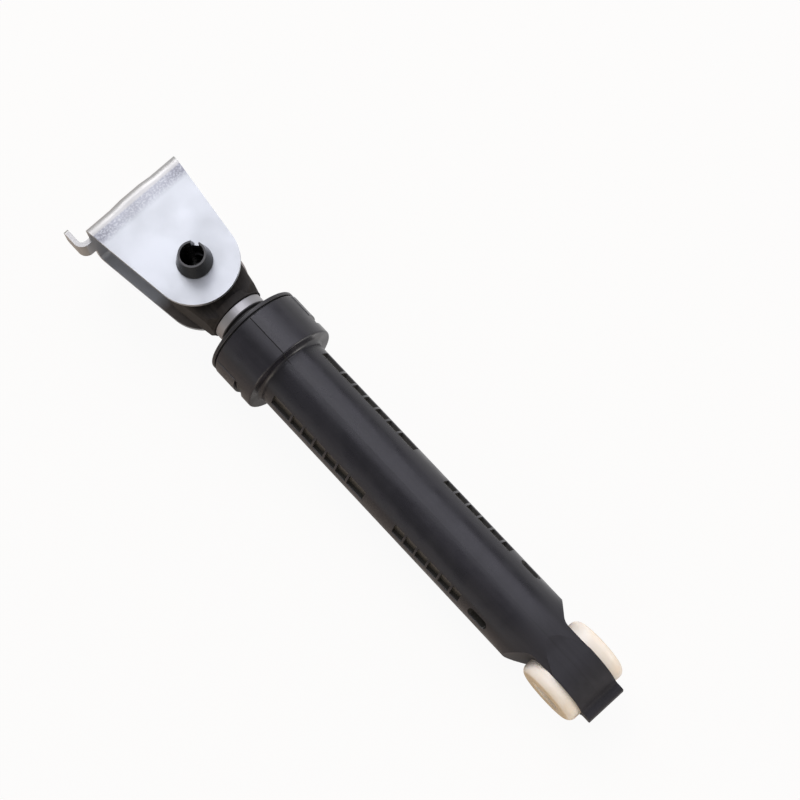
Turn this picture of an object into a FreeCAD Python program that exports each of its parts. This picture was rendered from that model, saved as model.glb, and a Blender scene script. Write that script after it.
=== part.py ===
# Friction damper of a washing machine: barrel with ear, sliding rod with eye, folded bracket.
# X runs along the damper from the ear to the bracket, Y along the ear bush, Z along the bracket pin.
# The origin is the centre of the ear bush. Lengths are millimetres, slopes and turns degrees.
import FreeCAD
import Part
import math
import os

# Clearances
SEAT_GAP = 0.05          # radial gap of pieces that are pushed into each other
RUN_GAP = 0.05           # radial gap of a running fit
FREE_GAP = 0.3           # gap between pieces that move past each other
END_GAP = 0.1            # gap at the ends of pieces that lie between others
OVER = 10.0              # how far cutters reach past what they cut

# Barrel: tube, head and ear in one moulding
TUBE_R = 15.5
BORE_ROOM = 0.9          # from the rod to the tube's bore
BORE_BOTTOM_X = 26.0
HEAD_R = 21.0
HEAD_X = 162.0
HEAD_LENGTH = 20.2
HEAD_FLOOR = 3.2
HEAD_WALL = 3.4
HEAD_EDGE = 0.7
HEAD_ROOT = 1.5
PARTING_WIDTH = 0.3
PARTING_DEPTH = 0.2
EAR_DROP = 0.9           # the ear's top lies this far below the tube's crown
EAR_W = 17.4
EAR_HOLE_R = 9.5
LUG_OUT = 3.8
LUG_HALF = 3.2
LUG_EDGE = 1.2
LUG_ROOT = 1.5
RAMP_X = 13.2            # the tube's crown begins here, above a ramp that rises from the ear's top
RAMP_SLOPE = 12.0
RAMP_FILLET = 10.0
TONGUE_X = 1.5           # from here the ear's top narrows over the tube
TONGUE_SLOPE = 25.0
TONGUE_FILLET = 8.0
SHOULDER_X = 22.5
SHOULDER_SLOPE = 38.0
SHOULDER_FILLET = 7.0

# Pockets and vents of the tube wall
POCKET_WALL = 1.0        # from the tube's bore to the pockets' floor, measured along Y
POCKET_LOW_Z = 4.6
POCKET_SLOPE = 11.5      # the floor leans in, so that it runs out in the tube's surface
RIB = 1.0
RIB_PITCH = 6.55
SHORT_ROW_X = 48.3
SHORT_ROW_LENGTH = 37.1
SHORT_LEAD = 5.0         # from a row's start to its first rib
SHORT_TAIL = 4.0         # least room from a row's last rib to its end
ROW_GAP = 17.1
LONG_LEAD = 9.5
LONG_TAIL = 8.0
ROW_SETBACK = 6.6        # from the long row's end to the head
VENT_X = 33.1
VENT_LENGTH = 9.9
VENT_WIDTH = 4.2
ROUND_SHARE = 0.49       # share of a vent's width that rounds its corners

# Snap windows of the head and the raised pads above them
WINDOW_IN = 4.9
WINDOW_LENGTH = 4.1
WINDOW_HALF = 7.9
PAD_RISE = 0.2
PAD_HALF = 8.3
PAD_BACK = 0.6

# Head cap with the cage that holds the lining
CAP_INSET = 0.1
CAP_STEP = 1.1
CAP_GROOVE = 0.7
CAP_PLATE = 1.6
CAP_EDGE = 0.4
CAGE_WALL = 1.7
NOSE_DROP = 0.9
NOSE_FLAT = 1.0
CAGE_SLIT = 0.8

# Friction lining and its washer
WASHER = 1.2
ROD_PASS = 0.4

# Ear bush halves
BUSH_FLANGE_R = 13.6
BUSH_LENGTH = 29.0
BUSH_BORE_R = 6.5
BUSH_EDGE = 3.1
BUSH_MOUTH = 1.0

# Rod tube with a rolled seat for the guide and two rolled grooves with a bead between them
ROD_R = 11.3
ROD_WALL = 1.2
ROD_BACK = 10.0          # from the bottom of the tube's bore to the rod
ROD_OUT = 8.5            # from the cap to the rod's end
ROLL_RING = 3.6
ROLL_FLANK = 0.8
ROLL_FLOOR = 0.5
ROLL_DEPTH = 1.4
ROLL_BEAD = 1.4
ROLL_BEAD_RISE = 0.7
ROLL_ROUND = 0.35
ROLL_SHOULDER = 0.8
GUIDE_INSET = 4.0
GUIDE_LENGTH = 8.0
GUIDE_DEPTH = 1.1
GUIDE_SLIT = 1.5

# Eye at the end of the rod
EYE_REACH = 22.9         # from the rod's end to the pin
EYE_R = 15.5
EYE_HALF = 10.0
EYE_HOLE_R = 10.5
EYE_EDGE = 2.5
EYE_SHOULDER = 0.25
NECK_STEP = 0.3          # the neck's shoulder stands this far above the rod
NECK_SPREAD = 0.5
NECK_FLARE = 45.0
SPIGOT_LENGTH = 16.0

# Rubber bush halves in the eye
RUBBER_FLANGE_R = 14.8
RUBBER_EDGE = 1.5

# Bracket folded from sheet
SHEET = 2.0
PLATE_GAP = 29.0
PLATE_R = 18.0
BASE_REACH = 40.4
BASE_HALF = 22.9
BEND_R = 2.0
BEAD_RISE = 0.5
BEAD_TOP_HALF = 5.0
BEAD_FOOT_HALF = 10.5
SCREW_HOLE_R = 3.5
HOOK_HALF = 5.4
HOOK_SIDE = 6.1
HOOK_REACH = 9.0
HOOK_TIP = 1.5

# Snap pin through bracket and eye
PIN_R = 6.4
PIN_WALL = 1.7
PIN_HEAD_OVER = 2.6
PIN_HEAD = 2.0
PIN_SEAT = 0.1
BARB_STEP = 0.95
BARB_LIP = 0.7
BARB_LENGTH = 8.4
TIP_DROP = 0.8
TIP_WALL = 0.8
PIN_FLOOR = 2.0
PIN_FLOOR_HOLE_R = 1.3
PIN_SLIT = 3.2
PIN_SLIT_DEPTH = 14.0
PIN_SLIT_TURN = -53.0

# Sizes that follow from the driving ones
TUBE_BORE_R = ROD_R + BORE_ROOM
EAR_R = TUBE_R - EAR_DROP
HEAD_END_X = HEAD_X + HEAD_LENGTH
CHAMBER_R = HEAD_R - HEAD_WALL
CHAMBER_X = HEAD_X + HEAD_FLOOR
POCKET_FLOOR_Y = TUBE_BORE_R + POCKET_WALL
SHORT_ROW_END = SHORT_ROW_X + SHORT_ROW_LENGTH
LONG_ROW_X = SHORT_ROW_END + ROW_GAP
LONG_ROW_END = HEAD_X - ROW_SETBACK
WINDOW_X = HEAD_X + WINDOW_IN
CAP_R = HEAD_R - CAP_INSET
CAP_STEP_R = CAP_R - CAP_STEP
CAP_X = HEAD_END_X + CAP_GROOVE
CAP_TOP_X = CAP_X + CAP_PLATE
LINING_X = CHAMBER_X + WASHER
CAGE_R = CHAMBER_R - SEAT_GAP
LINING_R = CAGE_R - CAGE_WALL - SEAT_GAP
PASS_R = ROD_R + ROD_PASS
ROD_X = BORE_BOTTOM_X + ROD_BACK
ROD_END_X = CAP_TOP_X + ROD_OUT
ROLL_RING_X = ROD_END_X - ROLL_RING
ROLL_X = ROLL_RING_X - 3 * ROLL_FLANK - 2 * ROLL_FLOOR - ROLL_BEAD
GUIDE_X = ROD_X + GUIDE_INSET
PIN_X = ROD_END_X + EYE_REACH
NECK_R = ROD_R + NECK_STEP
NECK_WIDE = ROD_R + NECK_SPREAD
PLATE_IN = PLATE_GAP / 2
PLATE_OUT = PLATE_IN + SHEET
BASE_X = PIN_X + BASE_REACH
PIN_HEAD_R = PIN_R + PIN_HEAD_OVER
BARB_R = PIN_R + BARB_STEP
TIP_R = PIN_R - TIP_DROP

ORIGIN = FreeCAD.Vector(0, 0, 0)
AXIS_X = FreeCAD.Vector(1, 0, 0)
AXIS_Y = FreeCAD.Vector(0, 1, 0)
AXIS_Z = FreeCAD.Vector(0, 0, 1)
PIN_POINT = FreeCAD.Vector(PIN_X, 0, 0)


def on_xz(u, v):
    """Point of a profile that is drawn in the XZ plane."""
    return FreeCAD.Vector(u, 0, v)


def on_xy(u, v):
    """Point of a profile that is drawn in the XY plane."""
    return FreeCAD.Vector(u, v, 0)


def on_yz(u, v):
    """Point of a profile that is drawn in the YZ plane."""
    return FreeCAD.Vector(0, u, v)


def rounded(corners, place):
    """Closed wire through corners (u, v) or (u, v, radius), with tangent arcs at the radii."""
    count = len(corners)
    spans = []
    for index, corner in enumerate(corners):
        point = FreeCAD.Vector(corner[0], corner[1], 0)
        radius = corner[2] if len(corner) > 2 else 0
        if radius == 0:
            spans.append((point, None, point))
            continue
        before = corners[index - 1]
        after = corners[(index + 1) % count]
        back = (FreeCAD.Vector(before[0], before[1], 0) - point).normalize()
        ahead = (FreeCAD.Vector(after[0], after[1], 0) - point).normalize()
        half = back.getAngle(ahead) / 2
        inward = (back + ahead).normalize()
        reach = radius / math.tan(half)
        middle = point + inward * (radius / math.sin(half) - radius)
        spans.append((point + back * reach, middle, point + ahead * reach))
    edges = []
    for index, (start, middle, stop) in enumerate(spans):
        if middle is not None:
            arc = Part.Arc(place(start.x, start.y), place(middle.x, middle.y), place(stop.x, stop.y))
            edges.append(arc.toShape())
        following = spans[(index + 1) % count][0]
        if stop.distanceToPoint(following) > 1e-6:
            edges.append(Part.LineSegment(place(stop.x, stop.y), place(following.x, following.y)).toShape())
    return Part.Wire(edges)


def turned_x(corners):
    """Solid turned about the damper axis from corners (x, radius)."""
    return Part.Face(rounded(corners, on_xz)).revolve(ORIGIN, AXIS_X, 360)


def turned_y(corners):
    """Solid turned about the ear axis from corners (radius, y)."""
    return Part.Face(rounded(corners, on_xy)).revolve(ORIGIN, AXIS_Y, 360)


def turned_pin(corners):
    """Solid turned about the pin axis from corners (radius, z)."""
    moved = [(PIN_X + corner[0],) + tuple(corner[1:]) for corner in corners]
    return Part.Face(rounded(moved, on_xz)).revolve(PIN_POINT, AXIS_Z, 360)


def plan(corners, half_height):
    """Prism over an outline in the XY plane, as high above it as below."""
    face = Part.Face(rounded(corners, on_xy))
    face.translate(FreeCAD.Vector(0, 0, -half_height))
    return face.extrude(FreeCAD.Vector(0, 0, 2 * half_height))


def side(corners, y_low, y_high):
    """Prism over an outline in the XZ plane, from y_low to y_high."""
    face = Part.Face(rounded(corners, on_xz))
    face.translate(FreeCAD.Vector(0, y_low, 0))
    return face.extrude(FreeCAD.Vector(0, y_high - y_low, 0))


def along(corners, x_low, x_high):
    """Prism over an outline in the YZ plane, from x_low to x_high."""
    face = Part.Face(rounded(corners, on_yz))
    face.translate(FreeCAD.Vector(x_low, 0, 0))
    return face.extrude(FreeCAD.Vector(x_high - x_low, 0, 0))


def block(x_low, x_high, y_low, y_high, z_low, z_high):
    """Box between two corners."""
    corner = FreeCAD.Vector(x_low, y_low, z_low)
    return Part.makeBox(x_high - x_low, y_high - y_low, z_high - z_low, corner)


def both_sides(shape):
    """A shape and its mirror image across the XZ plane."""
    return [shape, shape.mirror(ORIGIN, AXIS_Y)]


def top_and_bottom(shape):
    """A shape and its mirror image across the XY plane."""
    return [shape, shape.mirror(ORIGIN, AXIS_Z)]


def four_rows(shape):
    """A shape on the upper +Y side and its images in the other three quarters."""
    return [quarter for half in both_sides(shape) for quarter in top_and_bottom(half)]


def pocket_row(start, end, lead, tail):
    """Pockets between the ribs of one row, on a leaning floor; as many ribs as the row has room for."""
    ribs = 1 + int((end - start - lead - tail) / RIB_PITCH)
    walls = [start]
    for index in range(ribs):
        middle = start + lead + index * RIB_PITCH
        walls += [middle - RIB / 2, middle + RIB / 2]
    walls.append(end)
    far_y = TUBE_R + OVER
    lean_y = POCKET_FLOOR_Y - (TUBE_R - POCKET_LOW_Z) * math.tan(math.radians(POCKET_SLOPE))
    section = [(POCKET_FLOOR_Y, POCKET_LOW_Z), (far_y, POCKET_LOW_Z), (far_y, TUBE_R), (lean_y, TUBE_R)]
    pockets = []
    for low, high in zip(walls[0::2], walls[1::2]):
        pockets += four_rows(along(section, low, high))
    return pockets


def vents():
    """Oblong slots through the tube wall, one at the ear end of each row."""
    low_z = POCKET_LOW_Z
    high_z = POCKET_LOW_Z + VENT_WIDTH
    end_r = VENT_WIDTH * ROUND_SHARE
    corners = [(VENT_X, low_z, end_r), (VENT_X + VENT_LENGTH, low_z, end_r)]
    corners += [(VENT_X + VENT_LENGTH, high_z, end_r), (VENT_X, high_z, end_r)]
    return four_rows(side(corners, TUBE_BORE_R / 2, TUBE_R + OVER))


def tube_and_head():
    """Turned outside of tube and head; above and below the ear a ramp cuts the tube's crown."""
    barrel = turned_x([(0, 0), (0, TUBE_R), (HEAD_X, TUBE_R, HEAD_ROOT), (HEAD_X, HEAD_R, HEAD_EDGE),
                       (HEAD_END_X, HEAD_R, HEAD_EDGE / 2), (HEAD_END_X, 0)])
    slope = math.tan(math.radians(RAMP_SLOPE))
    foot_x = RAMP_X - EAR_DROP / slope
    top_x = RAMP_X + OVER / slope
    top_z = TUBE_R + OVER
    ramp = side([(-OVER, EAR_R), (foot_x, EAR_R, RAMP_FILLET), (top_x, top_z), (-OVER, top_z)],
                -TUBE_R, TUBE_R)
    return barrel.cut(top_and_bottom(ramp))


def ear():
    """Flat-sided ear with a lug at its tip; its top narrows to a tongue over the tube."""
    flat = EAR_W / 2
    body = side([(RAMP_X, -EAR_R), (-EAR_R, -EAR_R, EAR_R), (-EAR_R, EAR_R, EAR_R), (RAMP_X, EAR_R)],
                -flat, flat)
    lug_tip = -EAR_R - LUG_OUT
    lug = side([(0, -LUG_HALF), (lug_tip, -LUG_HALF, LUG_EDGE), (lug_tip, LUG_HALF, LUG_EDGE), (0, LUG_HALF)],
               -flat, flat)
    body = body.fuse(lug).removeSplitter()
    root_x = -math.sqrt(EAR_R ** 2 - LUG_HALF ** 2)
    roots = [edge for edge in body.Edges
             if edge.BoundBox.YLength > flat and abs(edge.BoundBox.XMin - root_x) < SEAT_GAP]
    body = body.makeFillet(LUG_ROOT, roots)
    point_x = TONGUE_X + flat / math.tan(math.radians(TONGUE_SLOPE))
    tongue = plan([(lug_tip - OVER, -flat), (TONGUE_X, -flat, TONGUE_FILLET), (point_x, 0),
                   (TONGUE_X, flat, TONGUE_FILLET), (lug_tip - OVER, flat)], EAR_R + OVER)
    return body.common(tongue)


def housing():
    """Black moulding: tube, head with its lining chamber, and the flat-sided ear."""
    pad_ring = turned_x([(WINDOW_X + WINDOW_LENGTH, 0), (WINDOW_X + WINDOW_LENGTH, HEAD_R + PAD_RISE),
                         (HEAD_END_X - PAD_BACK, HEAD_R + PAD_RISE), (HEAD_END_X - PAD_BACK, 0)])
    pad_room = block(HEAD_X, HEAD_END_X, CHAMBER_R, HEAD_R + OVER, -PAD_HALF, PAD_HALF)
    pads = both_sides(pad_ring.common(pad_room))
    solid = tube_and_head().fuse([ear()] + pads)

    flat = EAR_W / 2
    slope = math.tan(math.radians(SHOULDER_SLOPE))
    foot_x = SHOULDER_X - (TUBE_R - flat) / slope
    top_y = TUBE_R + OVER
    top_x = SHOULDER_X + OVER / slope
    far_x = -EAR_R - LUG_OUT - OVER
    flank = plan([(far_x, flat), (foot_x, flat, SHOULDER_FILLET), (top_x, top_y), (far_x, top_y)],
                 EAR_R + OVER)
    hollow = turned_x([(BORE_BOTTOM_X, 0), (BORE_BOTTOM_X, TUBE_BORE_R), (CHAMBER_X, TUBE_BORE_R),
                       (CHAMBER_X, CHAMBER_R), (HEAD_END_X + OVER, CHAMBER_R), (HEAD_END_X + OVER, 0)])
    hole = Part.makeCylinder(EAR_HOLE_R, 2 * EAR_R, FreeCAD.Vector(0, -EAR_R, 0), AXIS_Y)
    window = block(WINDOW_X, WINDOW_X + WINDOW_LENGTH, TUBE_BORE_R, HEAD_R + OVER, -WINDOW_HALF, WINDOW_HALF)
    parting = block(HEAD_X, HEAD_END_X, -PARTING_WIDTH / 2, PARTING_WIDTH / 2,
                    HEAD_R - PARTING_DEPTH, HEAD_R + OVER)
    cuts = both_sides(flank) + [hollow, hole] + both_sides(window) + top_and_bottom(parting)
    cuts += pocket_row(SHORT_ROW_X, SHORT_ROW_END, SHORT_LEAD, SHORT_TAIL)
    cuts += pocket_row(LONG_ROW_X, LONG_ROW_END, LONG_LEAD, LONG_TAIL) + vents()
    return solid.cut(cuts)


def head_cap():
    """Cap that closes the head: plate, step on the head's end, slit cage and two snap noses."""
    body = turned_x([(LINING_X, LINING_R + SEAT_GAP), (LINING_X, CAGE_R), (HEAD_END_X, CAGE_R),
                     (HEAD_END_X, CAP_STEP_R), (CAP_X, CAP_STEP_R), (CAP_X, CAP_R, CAP_EDGE),
                     (CAP_TOP_X, CAP_R, CAP_EDGE), (CAP_TOP_X, PASS_R, CAP_EDGE),
                     (HEAD_END_X - CAP_PLATE, PASS_R), (HEAD_END_X - CAP_PLATE, LINING_R + SEAT_GAP)])
    nose_low = WINDOW_X + FREE_GAP
    nose_high = WINDOW_X + WINDOW_LENGTH - FREE_GAP
    nose_half = WINDOW_HALF - FREE_GAP - CAGE_SLIT
    nose_r = HEAD_R - NOSE_DROP
    ring = turned_x([(nose_low, CAGE_R - CAGE_WALL / 2), (nose_low, CAGE_R), (nose_high - NOSE_FLAT, nose_r),
                     (nose_high, nose_r), (nose_high, CAGE_R - CAGE_WALL / 2)])
    noses = both_sides(ring.common(block(nose_low, nose_high, CHAMBER_R / 2, HEAD_R, -nose_half, nose_half)))
    slit = block(LINING_X - OVER, nose_high + CAGE_WALL, CHAMBER_R / 2, HEAD_R,
                 nose_half, nose_half + CAGE_SLIT)
    return body.fuse(noses).cut(four_rows(slit))


def lining_washer():
    """Flat washer on the chamber floor, under cage and lining."""
    return turned_x([(CHAMBER_X, PASS_R), (CHAMBER_X, CAGE_R), (LINING_X, CAGE_R), (LINING_X, PASS_R)])


def friction_lining():
    """Greased foam ring that grips the rod."""
    top_x = HEAD_END_X - CAP_PLATE - END_GAP
    inner = ROD_R + RUN_GAP
    return turned_x([(LINING_X, inner), (LINING_X, LINING_R), (top_x, LINING_R), (top_x, inner)])


def ear_bush(direction):
    """Flanged bush half, pushed into the ear from one side."""
    half = turned_y([(BUSH_BORE_R, END_GAP), (EAR_HOLE_R - SEAT_GAP, END_GAP),
                     (EAR_HOLE_R - SEAT_GAP, EAR_W / 2), (BUSH_FLANGE_R, EAR_W / 2),
                     (BUSH_FLANGE_R, BUSH_LENGTH / 2, BUSH_EDGE), (BUSH_BORE_R, BUSH_LENGTH / 2, BUSH_MOUTH)])
    return half if direction > 0 else half.mirror(ORIGIN, AXIS_Y)


def rod_outside():
    """Corners of the rod's outside from the inner end to the eye."""
    seat_r = ROD_R - GUIDE_DEPTH
    floor_r = ROD_R - ROLL_DEPTH
    bead_r = floor_r + ROLL_BEAD_RISE
    bead_x = ROLL_X + ROLL_FLANK + ROLL_FLOOR + ROLL_FLANK / 2
    corners = [(ROD_X, ROD_R), (GUIDE_X, ROD_R), (GUIDE_X, seat_r)]
    corners += [(GUIDE_X + GUIDE_LENGTH, seat_r), (GUIDE_X + GUIDE_LENGTH, ROD_R)]
    corners += [(ROLL_X, ROD_R, ROLL_SHOULDER), (ROLL_X + ROLL_FLANK, floor_r, ROLL_ROUND)]
    corners += [(ROLL_X + ROLL_FLANK + ROLL_FLOOR, floor_r, ROLL_ROUND), (bead_x, bead_r, ROLL_ROUND)]
    corners += [(bead_x + ROLL_BEAD, bead_r, ROLL_ROUND)]
    corners += [(ROLL_RING_X - ROLL_FLANK - ROLL_FLOOR, floor_r, ROLL_ROUND)]
    corners += [(ROLL_RING_X - ROLL_FLANK, floor_r, ROLL_ROUND), (ROLL_RING_X, ROD_R, ROLL_ROUND)]
    return corners + [(ROD_END_X, ROD_R)]


def rod_inside(sunk):
    """Corners of the rod's inside, or of what lies sunk below it, with steps set off from those outside."""
    radius = ROD_R - ROD_WALL - sunk
    seat_r = radius - GUIDE_DEPTH
    floor_r = radius - ROLL_DEPTH
    spread = ROD_WALL / 2
    corners = [(ROD_X, radius), (GUIDE_X - spread, radius), (GUIDE_X - spread, seat_r)]
    corners += [(GUIDE_X + GUIDE_LENGTH + spread, seat_r), (GUIDE_X + GUIDE_LENGTH + spread, radius)]
    corners += [(ROLL_X - spread, radius), (ROLL_X + ROLL_FLANK - spread, floor_r)]
    corners += [(ROLL_RING_X - ROLL_FLANK + spread, floor_r), (ROLL_RING_X + spread, radius)]
    return corners + [(ROD_END_X, radius)]


def rod_tube():
    """Steel tube with a rolled seat for the guide ring and two rolled grooves that hold the eye."""
    return turned_x(rod_outside() + rod_inside(0)[::-1])


def guide_ring():
    """Split plastic ring in the rolled seat, running in the tube's bore."""
    inner = ROD_R - GUIDE_DEPTH + RUN_GAP
    outer = TUBE_BORE_R - RUN_GAP
    low_x = GUIDE_X + END_GAP
    high_x = GUIDE_X + GUIDE_LENGTH - END_GAP
    ring = turned_x([(low_x, inner), (low_x, outer), (high_x, outer), (high_x, inner)])
    return ring.cut(block(low_x - OVER, high_x + OVER, -GUIDE_SLIT / 2, GUIDE_SLIT / 2, 0, outer + OVER))


def rod_eye():
    """Moulded eye: drum about the pin, flared neck, and a grooved spigot inside the rod."""
    shoulder_x = ROD_END_X + EYE_SHOULDER
    span = PIN_X - shoulder_x
    reach = math.hypot(span, NECK_WIDE)
    touch = math.atan2(NECK_WIDE, -span) - math.acos(EYE_R / reach)
    touch_x = PIN_X + EYE_R * math.cos(touch)
    touch_y = EYE_R * math.sin(touch)
    neck = plan([(shoulder_x, -NECK_WIDE), (touch_x, -touch_y), (touch_x, touch_y), (shoulder_x, NECK_WIDE)],
                EYE_HALF)
    drum = Part.makeCylinder(EYE_R, 2 * EYE_HALF, FreeCAD.Vector(PIN_X, 0, -EYE_HALF), AXIS_Z)
    body = drum.fuse(neck).removeSplitter()
    rims = [edge for edge in body.Edges if edge.BoundBox.ZLength < SEAT_GAP]
    body = body.makeFillet(EYE_EDGE, rims)
    flare = math.tan(math.radians(NECK_FLARE))
    wide = EYE_R + EYE_HALF
    wide_x = shoulder_x + (wide - NECK_R) / flare
    far_x = PIN_X + wide
    cone = turned_x([(shoulder_x, 0), (shoulder_x, NECK_R), (wide_x, wide), (far_x, wide), (far_x, 0)])
    spigot_x = ROD_END_X - SPIGOT_LENGTH
    outside = [corner for corner in rod_inside(SEAT_GAP) if corner[0] > spigot_x]
    spigot_r = ROD_R - ROD_WALL - SEAT_GAP
    spigot = turned_x([(spigot_x, 0), (spigot_x, spigot_r)] + outside[:-1]
                      + [(shoulder_x, spigot_r), (shoulder_x, 0)])
    hole = Part.makeCylinder(EYE_HOLE_R, 4 * EYE_HALF, FreeCAD.Vector(PIN_X, 0, -2 * EYE_HALF), AXIS_Z)
    return body.common(cone).fuse(spigot).cut(hole)


def eye_bush(direction):
    """Rubber bush half: sleeve in the eye and a flange between eye and bracket plate."""
    inner = PIN_R + RUN_GAP
    sleeve = EYE_HOLE_R - SEAT_GAP
    seat = EYE_HALF + SEAT_GAP
    top = PLATE_IN - FREE_GAP
    half = turned_pin([(inner, END_GAP), (sleeve, END_GAP), (sleeve, seat), (RUBBER_FLANGE_R, seat),
                       (RUBBER_FLANGE_R, top, RUBBER_EDGE), (inner, top)])
    return half if direction > 0 else half.mirror(ORIGIN, AXIS_Z)


def channel_wire(y, rise):
    """Section of the folded sheet at one y, with its base pressed out by rise."""
    near_x = PIN_X - PLATE_R - OVER
    out_x = BASE_X + rise
    in_x = out_x - SHEET
    wide = BEND_R + SHEET
    outside = [(near_x, -PLATE_OUT), (out_x, -PLATE_OUT, wide), (out_x, PLATE_OUT, wide), (near_x, PLATE_OUT)]
    inside = [(near_x, PLATE_IN), (in_x, PLATE_IN, BEND_R), (in_x, -PLATE_IN, BEND_R), (near_x, -PLATE_IN)]
    wire = rounded(outside + inside, on_xz)
    wire.translate(FreeCAD.Vector(0, y, 0))
    return wire


def bracket():
    """Zinc-plated sheet folded to a channel: two plates, a beaded base and a hook at its side."""
    wide_y = BASE_HALF + OVER
    stations = [(-wide_y, 0), (-BEAD_FOOT_HALF, 0), (-BEAD_TOP_HALF, BEAD_RISE)]
    stations += [(BEAD_TOP_HALF, BEAD_RISE), (BEAD_FOOT_HALF, 0), (wide_y, 0)]
    channel = Part.makeLoft([channel_wire(y, rise) for y, rise in stations], True, True)

    corner_x = BASE_X - SHEET
    reach = math.hypot(BASE_REACH - SHEET, BASE_HALF)
    touch = math.atan2(BASE_HALF, BASE_REACH - SHEET) + math.acos(PLATE_R / reach)
    touch_x = PIN_X + PLATE_R * math.cos(touch)
    touch_y = PLATE_R * math.sin(touch)
    end_x = BASE_X + OVER
    blade = plan([(touch_x, -touch_y), (corner_x, -BASE_HALF), (end_x, -BASE_HALF),
                  (end_x, BASE_HALF), (corner_x, BASE_HALF), (touch_x, touch_y)], PLATE_OUT + OVER)
    low = FreeCAD.Vector(PIN_X, 0, -PLATE_OUT - OVER)
    height = 2 * (PLATE_OUT + OVER)
    round_end = Part.makeCylinder(PLATE_R, height, low, AXIS_Z)
    sheet = channel.common(blade.fuse(round_end))

    leg_y = BASE_HALF + HOOK_SIDE
    tip_x = BASE_X + HOOK_REACH
    hook = plan([(corner_x, BASE_HALF - SHEET), (corner_x, leg_y, BEND_R + SHEET), (tip_x, leg_y),
                 (tip_x, leg_y - SHEET), (BASE_X, leg_y - SHEET, BEND_R), (BASE_X, BASE_HALF - SHEET)],
                HOOK_HALF)
    tip_edges = [edge for edge in hook.Edges
                 if abs(edge.BoundBox.XMin - tip_x) < SEAT_GAP and edge.BoundBox.YLength > SHEET / 2]
    hook = hook.makeFillet(HOOK_TIP, tip_edges)

    pin_hole = Part.makeCylinder(PIN_R + END_GAP, height, low, AXIS_Z)
    screw_hole = Part.makeCylinder(SCREW_HOLE_R, 4 * SHEET, FreeCAD.Vector(BASE_X - 2 * SHEET, 0, 0), AXIS_X)
    return sheet.fuse(hook).removeSplitter().cut([pin_hole, screw_hole])


def clip_pin():
    """Hollow snap pin: head under the lower plate, barbed tip with one slit above the upper one."""
    head_top = -PLATE_OUT - PIN_SEAT
    head_low = head_top - PIN_HEAD
    lip = PLATE_OUT + PIN_SEAT
    tip = lip + BARB_LENGTH
    hollow_r = PIN_R - PIN_WALL
    floor = head_low + PIN_HEAD + PIN_FLOOR
    edge = PIN_HEAD / 3
    body = turned_pin([(0, head_low), (PIN_HEAD_R, head_low, edge), (PIN_HEAD_R, head_top, edge),
                       (PIN_R, head_top), (PIN_R, lip), (BARB_R, lip), (BARB_R, lip + BARB_LIP),
                       (TIP_R, tip), (0, tip)])
    hollow = turned_pin([(0, floor), (hollow_r, floor), (hollow_r, lip), (TIP_R - TIP_WALL, tip - BARB_LIP),
                         (TIP_R - TIP_WALL, tip + OVER), (0, tip + OVER)])
    drain = Part.makeCylinder(PIN_FLOOR_HOLE_R, OVER, FreeCAD.Vector(PIN_X, 0, floor - OVER), AXIS_Z)
    slit = block(PIN_X, PIN_X + 2 * BARB_R, -PIN_SLIT / 2, PIN_SLIT / 2, tip - PIN_SLIT_DEPTH, tip + OVER)
    slit.rotate(PIN_POINT, AXIS_Z, PIN_SLIT_TURN)
    return body.cut([hollow, drain, slit])


PIECES = {
    "housing": housing(),
    "head_cap": head_cap(),
    "lining_washer": lining_washer(),
    "friction_lining": friction_lining(),
    "ear_bush_left": ear_bush(-1),
    "ear_bush_right": ear_bush(1),
    "guide_ring": guide_ring(),
    "rod_tube": rod_tube(),
    "rod_eye": rod_eye(),
    "eye_bush_upper": eye_bush(1),
    "eye_bush_lower": eye_bush(-1),
    "bracket": bracket(),
    "clip_pin": clip_pin(),
}

os.makedirs("parts", exist_ok=True)
for name, shape in PIECES.items():
    shape.exportStep("parts/" + name + ".step")
    print(name, shape.isValid(), len(shape.Solids), round(shape.Volume), len(shape.Faces))
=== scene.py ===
import math

import bmesh
import bpy
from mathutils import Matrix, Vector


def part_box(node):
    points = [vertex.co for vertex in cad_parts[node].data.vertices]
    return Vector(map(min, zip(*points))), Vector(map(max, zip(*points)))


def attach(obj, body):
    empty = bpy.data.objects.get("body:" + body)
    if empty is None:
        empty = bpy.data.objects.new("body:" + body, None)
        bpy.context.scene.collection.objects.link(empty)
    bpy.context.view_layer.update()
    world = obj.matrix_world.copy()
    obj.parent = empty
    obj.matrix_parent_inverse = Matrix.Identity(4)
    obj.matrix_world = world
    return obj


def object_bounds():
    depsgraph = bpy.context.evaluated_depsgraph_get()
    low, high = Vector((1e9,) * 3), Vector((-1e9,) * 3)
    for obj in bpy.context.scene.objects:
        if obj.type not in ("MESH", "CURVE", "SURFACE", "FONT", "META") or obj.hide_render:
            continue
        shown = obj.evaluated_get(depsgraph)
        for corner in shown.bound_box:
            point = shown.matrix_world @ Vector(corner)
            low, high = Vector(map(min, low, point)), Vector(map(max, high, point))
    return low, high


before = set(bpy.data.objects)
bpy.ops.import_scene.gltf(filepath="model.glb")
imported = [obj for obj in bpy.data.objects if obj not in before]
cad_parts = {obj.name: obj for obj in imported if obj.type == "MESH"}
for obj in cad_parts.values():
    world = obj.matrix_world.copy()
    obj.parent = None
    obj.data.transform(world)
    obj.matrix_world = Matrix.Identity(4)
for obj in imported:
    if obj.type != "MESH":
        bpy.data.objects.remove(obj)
cad_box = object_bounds()

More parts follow.
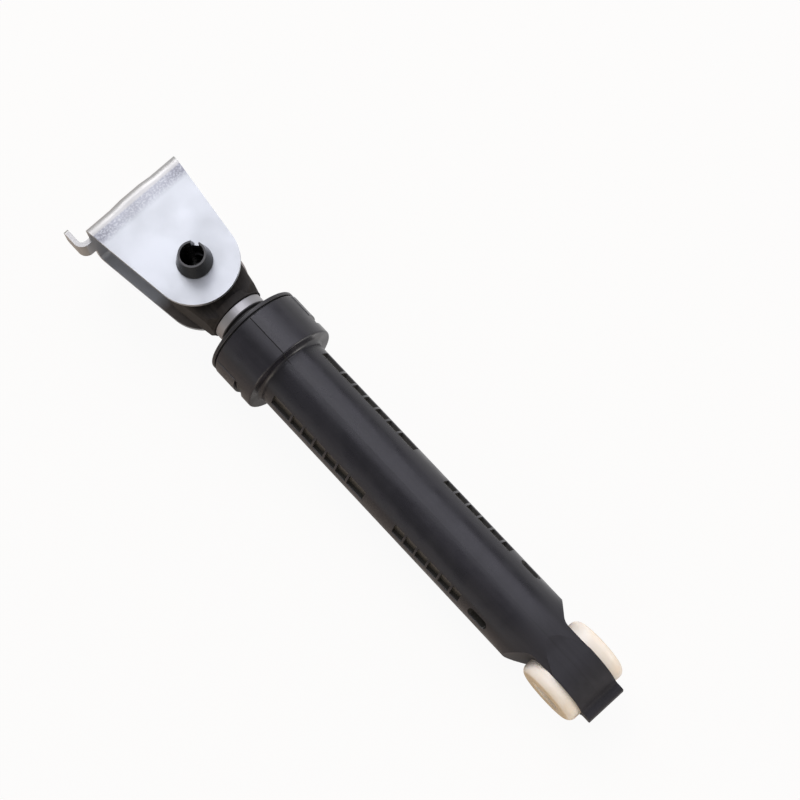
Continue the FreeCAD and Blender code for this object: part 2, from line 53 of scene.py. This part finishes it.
# Barrel housing: tube, head and flat-sided ear, one black moulding of filled plastic.
# It is satin with flow streaks, faint blotches and a parting line, and matt round the ear.
# Dust lies on the pockets' floors; their ledges are matt and painted darker, a painted shade.
black_dark = (0.0095, 0.0090, 0.0130, 1)
black_pale = (0.0180, 0.0170, 0.0230, 1)
black_dust = (0.042, 0.040, 0.036, 1)
painted_ledge_shade = (0.022, 0.021, 0.019, 1)
black_line = (0.005, 0.005, 0.005, 1)
black_gloss = (0.27, 0.39)
black_shine = 0.42
streak_span = (0.35, 0.68)
blotch_span = (0.40, 0.60)
wave_share = 5.0
tube_radius = 0.0155
pocket_skin = (tube_radius - 0.0004, tube_radius - 0.0001)
pocket_start = (0.028, 0.029)
ledge_height = (0.0047, 0.0049)
ear_matt = 0.66
ear_reach = (0.0145, 0.0310)
parting_width = (0.00014, 0.00028)
parting_share = (0.3, 0.9)
head_start = (0.158, 0.162)
rise = (0, 1)
fall = (1, 0)


def feed(socket, value):
    """Sets a socket to a plain number or colour, or links it to another node's output."""
    if isinstance(value, bpy.types.NodeSocket):
        socket.id_data.links.new(value, socket)
    else:
        socket.default_value = value


def new_material(name):
    """Fresh material; gives it with its shader and its object coordinates."""
    material = bpy.data.materials.new(name)
    material.use_nodes = True
    nodes = material.node_tree.nodes
    place = nodes.new("ShaderNodeTexCoord").outputs["Object"]
    return material, nodes["Principled BSDF"], place


def noise_field(place, scale, stretch=(1, 1, 1), detail=3):
    """Noise over coordinates, drawn out along the axes where the stretch is small."""
    nodes = place.id_data.nodes
    mapping = nodes.new("ShaderNodeMapping")
    feed(mapping.inputs["Vector"], place)
    feed(mapping.inputs["Scale"], stretch)
    noise = nodes.new("ShaderNodeTexNoise")
    feed(noise.inputs["Vector"], mapping.outputs["Vector"])
    feed(noise.inputs["Scale"], scale)
    feed(noise.inputs["Detail"], detail)
    return noise.outputs["Fac"]


def ranged(field, before, after):
    """A field's values between the two before, spread over the two after and held outside."""
    spread = field.id_data.nodes.new("ShaderNodeMapRange")
    feed(spread.inputs["Value"], field)
    for end, value in zip(("From Min", "From Max", "To Min", "To Max"), (*before, *after)):
        feed(spread.inputs[end], value)
    return spread.outputs["Result"]


def mixed(share, first, second):
    """Colour between two others; each is a plain colour or another node's output."""
    mix = share.id_data.nodes.new("ShaderNodeMix")
    mix.data_type = "RGBA"
    feed(mix.inputs["Factor"], share)
    feed(mix.inputs[6], first)
    feed(mix.inputs[7], second)
    return mix.outputs[2]


def worked(operation, field, *others):
    """Result of a sum on a field and others; each of these is a number or a node's output."""
    step = field.id_data.nodes.new("ShaderNodeMath")
    step.operation = operation
    for socket, value in zip(step.inputs, (field, *others)):
        feed(socket, value)
    return step.outputs[0]


def axis_distance(place):
    """Distance from the damper's long axis."""
    nodes = place.id_data.nodes
    across = nodes.new("ShaderNodeMapping")
    feed(across.inputs["Vector"], place)
    feed(across.inputs["Scale"], (0, 1, 1))
    length = nodes.new("ShaderNodeVectorMath")
    length.operation = "LENGTH"
    feed(length.inputs[0], across.outputs["Vector"])
    return length.outputs["Value"]


def axes_of(place):
    """The X, Y and Z of coordinates, under these names."""
    split = place.id_data.nodes.new("ShaderNodeSeparateXYZ")
    feed(split.inputs["Vector"], place)
    return split.outputs


def bumped(shader, field, strength, depth):
    """Puts a field on a shader as fine relief."""
    bump = shader.id_data.nodes.new("ShaderNodeBump")
    feed(bump.inputs["Height"], field)
    feed(bump.inputs["Strength"], strength)
    feed(bump.inputs["Distance"], depth)
    feed(shader.inputs["Normal"], bump.outputs["Normal"])


def dress(node, material):
    """Gives a CAD node one material in its slots."""
    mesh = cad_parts[node].data
    mesh.materials.clear()
    mesh.materials.append(material)


black, shader, place = new_material("black_moulding")
streaks = noise_field(place, scale=220, stretch=(0.06, 1, 1))
blotches = noise_field(place, scale=110, detail=5)
waves = noise_field(place, scale=75, detail=4)
grain = noise_field(place, scale=3200, detail=2)
axes = axes_of(place)
along = axes["X"]
outward = worked("ABSOLUTE", axes["Y"])
height = worked("ABSOLUTE", axes["Z"])
crisp = ranged(along, head_start, parting_share)
parting = worked("MULTIPLY", ranged(outward, parting_width, fall), crisp)
below = ranged(axis_distance(place), pocket_skin, fall)
sunk = worked("MULTIPLY", below, ranged(along, pocket_start, rise))
# Painted shade: the pockets' bottom ledges get a darker colour, and are made matt.
shaded_ledge = worked("MULTIPLY", sunk, ranged(height, ledge_height, fall))
tone = mixed(ranged(streaks, streak_span, rise), black_dark, black_pale)
tone = mixed(parting, tone, black_line)
tone = mixed(sunk, tone, black_dust)
feed(shader.inputs["Base Color"], mixed(shaded_ledge, tone, painted_ledge_shade))
gloss = ranged(blotches, blotch_span, black_gloss)
matt = ranged(along, ear_reach, (ear_matt, black_gloss[0]))
dulled = worked("MAXIMUM", worked("MAXIMUM", shaded_ledge, parting), matt)
feed(shader.inputs["Roughness"], worked("MAXIMUM", gloss, dulled))
feed(shader.inputs["Specular IOR Level"], black_shine)
bumped(shader, worked("MULTIPLY_ADD", waves, wave_share, grain), strength=0.3, depth=0.00004)
dress("housing", black)

# Head cap: turned-looking black moulding that snaps into the head and closes it.
# Same plastic as the barrel from another mould, plainer and a little duller.
cap_dark = (0.011, 0.0105, 0.012, 1)
cap_pale = (0.019, 0.018, 0.021, 1)
cap_gloss = (0.34, 0.44)
cap_shine = 0.45
noise_core = (0.35, 0.65)
cap_black, shader, place = new_material("cap_moulding")
blotches = noise_field(place, scale=160, detail=4)
grain = noise_field(place, scale=3600, detail=2)
feed(shader.inputs["Base Color"], mixed(blotches, cap_dark, cap_pale))
feed(shader.inputs["Roughness"], ranged(blotches, noise_core, cap_gloss))
feed(shader.inputs["Specular IOR Level"], cap_shine)
bumped(shader, grain, strength=0.2, depth=0.00003)
dress("head_cap", cap_black)

# Washer, guide ring and foam lining: hidden inside head and tube, seen only through windows
# and vents. Washer and ring are moulded in plain pale plastic.
# The lining is a ring of brown foam, soaked in grease, that the head holds round the rod.
pale_dull = (0.48, 0.47, 0.42, 1)
pale_clean = (0.56, 0.55, 0.50, 1)
pale_gloss = (0.45, 0.60)
foam_dark = (0.10, 0.07, 0.035, 1)
foam_pale = (0.20, 0.15, 0.07, 1)
foam_gloss = (0.35, 0.80)
noise_span = (0.3, 0.7)
pale, shader, place = new_material("pale_plastic")
mottle = noise_field(place, scale=300)
feed(shader.inputs["Base Color"], mixed(mottle, pale_dull, pale_clean))
feed(shader.inputs["Roughness"], ranged(mottle, noise_span, pale_gloss))
dress("lining_washer", pale)
dress("guide_ring", pale)

foam, shader, place = new_material("greased_foam")
cells = noise_field(place, scale=1500, detail=2)
feed(shader.inputs["Base Color"], mixed(cells, foam_dark, foam_pale))
feed(shader.inputs["Roughness"], ranged(cells, noise_span, foam_gloss))
bumped(shader, cells, strength=0.8, depth=0.0003)
dress("friction_lining", foam)

# Ear bush halves: cream moulded plastic, pushed into the ear from both sides.
# The rounded flange is smooth; its flat end face is coloured a darker tan.
cream_pale = (0.90, 0.84, 0.76, 1)
cream_warm = (0.87, 0.79, 0.68, 1)
cream_tan = (0.62, 0.50, 0.33, 1)
cream_gloss = (0.36, 0.48)
cream_depth = 0.12
cream_glow = (0.004, 0.003, 0.002)
face_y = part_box("ear_bush_right")[1].y
tan_start = (face_y - 0.0007, face_y - 0.0001)
cream, shader, place = new_material("cream_bush")
mottle = noise_field(place, scale=120, detail=4)
outward = worked("ABSOLUTE", axes_of(place)["Y"])
tone = mixed(ranged(mottle, noise_core, rise), cream_pale, cream_warm)
feed(shader.inputs["Base Color"], mixed(ranged(outward, tan_start, rise), tone, cream_tan))
feed(shader.inputs["Roughness"], ranged(mottle, noise_span, cream_gloss))
feed(shader.inputs["Subsurface Weight"], cream_depth)
feed(shader.inputs["Subsurface Radius"], cream_glow)
dress("ear_bush_left", cream)
dress("ear_bush_right", cream)

# Rod: drawn steel tube, satin, with fine lengthwise drawing lines.
# Its rolled grooves, such as the two that hold the eye, are painted black and not metal, a painted
# shade.
steel_pale = (0.38, 0.375, 0.385, 1)
steel_dull = (0.31, 0.305, 0.315, 1)
painted_groove_shade = (0.012, 0.011, 0.011, 1)
steel_gloss = (0.46, 0.58)
rod_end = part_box("rod_tube")[1]
rod_radius = rod_end.z
groove_skin = (rod_radius - 0.0007, rod_radius - 0.0002)
steel, shader, place = new_material("rod_steel")
lines = noise_field(place, scale=1800, stretch=(0.02, 1, 1))
# Painted shade: below the rod's skin, in the rolled grooves, the colour is near black and the metal
# is turned off.
outside_groove_shade = ranged(axis_distance(place), groove_skin, rise)
tone = mixed(lines, steel_dull, steel_pale)
feed(shader.inputs["Base Color"], mixed(outside_groove_shade, painted_groove_shade, tone))
feed(shader.inputs["Metallic"], outside_groove_shade)
feed(shader.inputs["Roughness"], ranged(lines, noise_span, steel_gloss))
dress("rod_tube", steel)

# Rod eye: dull brown-black moulding of glass-filled plastic, with a spigot held in the rod.
# Its surface is rougher than the barrel's, with a faint fibre pattern.
eye_dark = (0.021, 0.019, 0.018, 1)
eye_pale = (0.038, 0.034, 0.032, 1)
eye_gloss = (0.66, 0.82)
eye_shine = 0.22
brown, shader, place = new_material("eye_moulding")
fibres = noise_field(place, scale=900, stretch=(0.25, 1, 1), detail=4)
feed(shader.inputs["Base Color"], mixed(ranged(fibres, noise_core, rise), eye_dark, eye_pale))
feed(shader.inputs["Roughness"], ranged(fibres, noise_span, eye_gloss))
feed(shader.inputs["Specular IOR Level"], eye_shine)
bumped(shader, fibres, strength=0.3, depth=0.00006)
dress("rod_eye", brown)

# Neck collar: round band of the eye's moulding, close behind the end of the rod.
# It stands above the neck's flat top, of the same brown-black plastic, with softened edges.
collar_radius = rod_radius + 0.0008
collar_bore = 0.0090
collar_gap = 0.0003
collar_width = 0.0036
collar_middle = rod_end.x + collar_gap + collar_width / 2
collar_edge = 0.0003
collar_sides = 120
smooth_angle = math.radians(40)
bpy.ops.object.select_all(action="DESELECT")
bpy.ops.mesh.primitive_cylinder_add(vertices=collar_sides, radius=collar_radius, depth=collar_width,
                                    location=(collar_middle, 0, 0), rotation=(0, math.pi / 2, 0))
collar = bpy.context.object
collar.name = "neck_collar"
bpy.ops.object.transform_apply(location=True, rotation=True, scale=True)
bpy.ops.object.mode_set(mode="EDIT")
bpy.ops.mesh.select_mode(type="FACE")


def select_faces(piece, wanted):
    """Selects the faces of a piece in edit mode for which wanted, given the face, is true."""
    shape = bmesh.from_edit_mesh(piece.data)
    for face in shape.faces:
        face.select_set(wanted(face))
    shape.select_flush_mode()
    bmesh.update_edit_mesh(piece.data)


def is_end(face):
    """True for a face that looks along the band's axis."""
    return abs(face.normal.x) > 0.9


def is_outer(face):
    """True for a face of the band's outer wall."""
    return abs(face.normal.x) < 0.1 and face.calc_center_median().yz.length > collar_bore


select_faces(collar, is_end)
bpy.ops.mesh.inset(thickness=collar_radius - collar_bore, use_individual=True)
bpy.ops.mesh.bridge_edge_loops()
select_faces(collar, is_outer)
bpy.ops.mesh.region_to_loop()
bpy.ops.mesh.bevel(offset=collar_edge, segments=3, affect="EDGES")
bpy.ops.mesh.select_all(action="SELECT")
bpy.ops.mesh.remove_doubles(threshold=0.000001)
bpy.ops.mesh.normals_make_consistent(inside=False)
bpy.ops.object.mode_set(mode="OBJECT")
bpy.ops.object.shade_smooth_by_angle(angle=smooth_angle)
collar.data.materials.append(brown)
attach(collar, "rod")

# Eye bushes: two moulded halves of black rubber, dull and slightly dusty.
# They sit in the eye from above and below, between it and the bracket's plates.
rubber_dark = (0.010, 0.010, 0.010, 1)
rubber_dusty = (0.020, 0.019, 0.018, 1)
rubber_gloss = (0.60, 0.80)
rubber_shine = 0.30
rubber, shader, place = new_material("eye_rubber")
dust = noise_field(place, scale=400, detail=4)
feed(shader.inputs["Base Color"], mixed(dust, rubber_dark, rubber_dusty))
feed(shader.inputs["Roughness"], ranged(dust, noise_span, rubber_gloss))
feed(shader.inputs["Specular IOR Level"], rubber_shine)
dress("eye_bush_upper", rubber)
dress("eye_bush_lower", rubber)

# Bracket: 2 mm sheet folded to a channel, with a pressed bead, hook and screw hole.
# Bright bluish zinc plating with a fine sparkle, duller and speckled before the fold.
# Inside, the plates take a paler tone of their own, painted light, and round the pin towards their
# tips a dark brown, painted shade of the eye.
zinc_pale = (0.446, 0.464, 0.490, 1)
zinc_dull = (0.424, 0.441, 0.466, 1)
zinc_lilac = (0.216, 0.220, 0.252, 1)
zinc_fold = (0.40, 0.398, 0.397, 1)
painted_inside_light = (0.50, 0.52, 0.56, 1)
painted_eye_shade = (0.21, 0.19, 0.18, 1)
zinc_gloss = (0.46, 0.56)
cloud_span = (0.4, 0.7)
speck_span = (0.35, 0.55)
speck_share = (0.35, 1)
sheet = 0.0020
base_x = 0.2563
inner_x = base_x - sheet
inner_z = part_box("bracket")[1].z - sheet
pin_low, pin_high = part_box("clip_pin")
pin_x = (pin_low.x + pin_high.x) / 2
lilac_start = (base_x - 0.0113, base_x - 0.0083)
fold_start = (base_x - 0.0054, base_x - 0.0046)
edge_reach = (0.010, 0.020)
edge_share = (0.65, 1)
under_plate = (inner_z + 0.00005, inner_z + 0.00015)
within_base = (inner_x + 0.0001, inner_x + 0.0002)
eye_shade_reach = (pin_x + 0.0030, pin_x + 0.0095)
zinc, shader, place = new_material("zinc_sheet")
clouds = noise_field(place, scale=55, detail=4)
speckle = noise_field(place, scale=1100)
sparkle = noise_field(place, scale=2400, detail=2)
axes = axes_of(place)
along = axes["X"]
outward = worked("ABSOLUTE", axes["Y"])
height = worked("ABSOLUTE", axes["Z"])
dulled = worked("MULTIPLY", ranged(along, lilac_start, rise), ranged(outward, edge_reach, edge_share))
specks = worked("MULTIPLY", dulled, ranged(speckle, speck_span, speck_share))
tone = mixed(ranged(clouds, cloud_span, rise), zinc_pale, zinc_dull)
tone = mixed(specks, tone, zinc_lilac)
tone = mixed(ranged(along, fold_start, rise), tone, zinc_fold)
# Painted light and shade: the inner faces get a paler zinc, and near the eye a dark brown.
inside = worked("MULTIPLY", ranged(height, under_plate, fall), ranged(along, within_base, fall))
inside_tone = mixed(ranged(along, eye_shade_reach, fall), painted_inside_light, painted_eye_shade)
feed(shader.inputs["Base Color"], mixed(inside, tone, inside_tone))
feed(shader.inputs["Metallic"], 1.0)
feed(shader.inputs["Roughness"], ranged(clouds, noise_core, zinc_gloss))
bumped(shader, sparkle, strength=0.12, depth=0.00003)
dress("bracket", zinc)

# Snap pin: glossy black plastic, hollow and slit at its tip, with scuffs from being driven in.
# The rim of the tip is painted paler, a painted highlight.
pin_dark = (0.004, 0.004, 0.005, 1)
pin_scuffed = (0.009, 0.009, 0.010, 1)
painted_rim_highlight = (0.060, 0.060, 0.062, 1)
pin_gloss = (0.16, 0.30)
pin_shine = 0.32
scuff_span = (0.35, 0.7)
rim_start = (pin_high.z - 0.00030, pin_high.z - 0.00010)
pin_black, shader, place = new_material("pin_plastic")
scuffs = noise_field(place, scale=700, stretch=(1, 1, 0.3), detail=4)
height = worked("ABSOLUTE", axes_of(place)["Z"])
tone = mixed(scuffs, pin_dark, pin_scuffed)
# Painted highlight: the rim at the top of the pin gets a paler colour.
feed(shader.inputs["Base Color"], mixed(ranged(height, rim_start, rise), tone, painted_rim_highlight))
feed(shader.inputs["Roughness"], ranged(scuffs, scuff_span, pin_gloss))
feed(shader.inputs["Specular IOR Level"], pin_shine)
dress("clip_pin", pin_black)

# Studio: the damper lies on a sheet, on its tube's end and on the back edge of its head.
# Two soft lamps hang over the bracket end and two weak warm ones light the ear end. The
# sheet is white to the camera, but warm and dimmer where the near flanks mirror it.
tube_foot_x = 0.0132
tube_foot_z = -tube_radius
head_foot_x = 0.1625
head_foot_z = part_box("housing")[0].z
floor_tilt = math.atan2(tube_foot_z - head_foot_z, head_foot_x - tube_foot_x)
floor_size = 8.0
bpy.ops.object.select_all(action="DESELECT")
bpy.ops.mesh.primitive_plane_add(size=floor_size, location=(tube_foot_x, 0, tube_foot_z),
                                 rotation=(0, floor_tilt, 0))
floor = bpy.context.object
floor.name = "studio_floor"


def shown_rays(mirror_share):
    """One for rays from the camera or a clear piece, a share for mirrored ones, else nought."""
    rays = mirror_share.id_data.nodes.new("ShaderNodeLightPath").outputs
    mirrored = worked("MULTIPLY", rays["Is Glossy Ray"], mirror_share)
    seen = worked("MAXIMUM", rays["Is Camera Ray"], rays["Is Transmission Ray"])
    return worked("MAXIMUM", seen, mirrored)


def mixed_shader(share, first, second):
    """Shader between two others."""
    mix = share.id_data.nodes.new("ShaderNodeMixShader")
    for socket, value in zip(mix.inputs, (share, first, second)):
        feed(socket, value)
    return mix.outputs[0]


white = (1, 1, 1, 1)
white_share = 0.94
paper_lit = (0.62, 0.51, 0.41, 1)
mirror_reach = (-0.03, 0.03)
mirror_shares = (1.0, 0.15)
paper = bpy.data.materials.new("studio_paper")
paper.use_nodes = True
nodes = paper.node_tree.nodes
nodes.clear()
aside = axes_of(nodes.new("ShaderNodeTexCoord").outputs["Object"])["Y"]
shown = shown_rays(ranged(aside, mirror_reach, mirror_shares))
lit = nodes.new("ShaderNodeBsdfDiffuse")
feed(lit.inputs["Color"], paper_lit)
glow = nodes.new("ShaderNodeEmission")
feed(glow.inputs["Color"], white)
feed(glow.inputs["Strength"], 1.0)
upper = mixed_shader(worked("MULTIPLY", shown, white_share), lit.outputs[0], glow.outputs[0])
clear = nodes.new("ShaderNodeBsdfTransparent").outputs[0]
from_below = nodes.new("ShaderNodeNewGeometry").outputs["Backfacing"]
out = nodes.new("ShaderNodeOutputMaterial")
feed(out.inputs["Surface"], mixed_shader(from_below, upper, clear))
floor.data.materials.append(paper)

ambient = 0.25
wall_height = (0.08, 0.40)
wall_strength = (1.0, 0.33)
world = bpy.data.worlds.new("studio_world")
bpy.context.scene.world = world
world.use_nodes = True
nodes = world.node_tree.nodes
nodes.clear()
upward = axes_of(nodes.new("ShaderNodeTexCoord").outputs["Generated"])["Z"]
walls = ranged(upward, wall_height, wall_strength)
sky = nodes.new("ShaderNodeBackground")
feed(sky.inputs["Color"], white)
feed(sky.inputs["Strength"], worked("MAXIMUM", shown_rays(walls), ambient))
out = nodes.new("ShaderNodeOutputWorld")
feed(out.inputs["Surface"], sky.outputs[0])


def soft_lamp(name, location, aim, size, power, colour):
    """Square area lamp at a place, turned towards another."""
    bpy.ops.object.light_add(type="AREA", location=location)
    lamp = bpy.context.object
    lamp.name = name
    lamp.data.shape = "SQUARE"
    lamp.data.size = size
    lamp.data.energy = power
    lamp.data.color = colour
    turn = (lamp.location - aim).to_track_quat("Z", "Y")
    lamp.rotation_euler = turn.to_euler()


middle = (cad_box[0] + cad_box[1]) / 2
soft_lamp("key_lamp", (1.35, -0.45, 1.15), middle, size=0.9, power=14.0, colour=(1.0, 0.99, 0.98))
soft_lamp("top_lamp", (0.62, -0.62, 1.30), middle, size=1.6, power=12.8, colour=(0.89, 0.88, 1.0))
soft_lamp("fill_lamp", (-0.45, 0.95, 0.40), middle, size=0.8, power=4.5, colour=(1.0, 0.87, 0.71))
soft_lamp("rear_lamp", (-0.75, -0.75, 0.30), middle, size=0.6, power=5.5, colour=(1.0, 0.95, 0.88))

camera_place = (-0.11525, 0.12037, 0.94443)
camera_turn = [math.radians(turn) for turn in (16.12, 3.219, -132.087)]
camera_lens = 113.65
camera_sensor = 36.0
bpy.ops.object.camera_add(location=camera_place, rotation=camera_turn)
camera = bpy.context.object
camera.data.lens = camera_lens
camera.data.sensor_width = camera_sensor
bpy.context.scene.camera = camera
bpy.context.scene.view_settings.view_transform = "Standard"
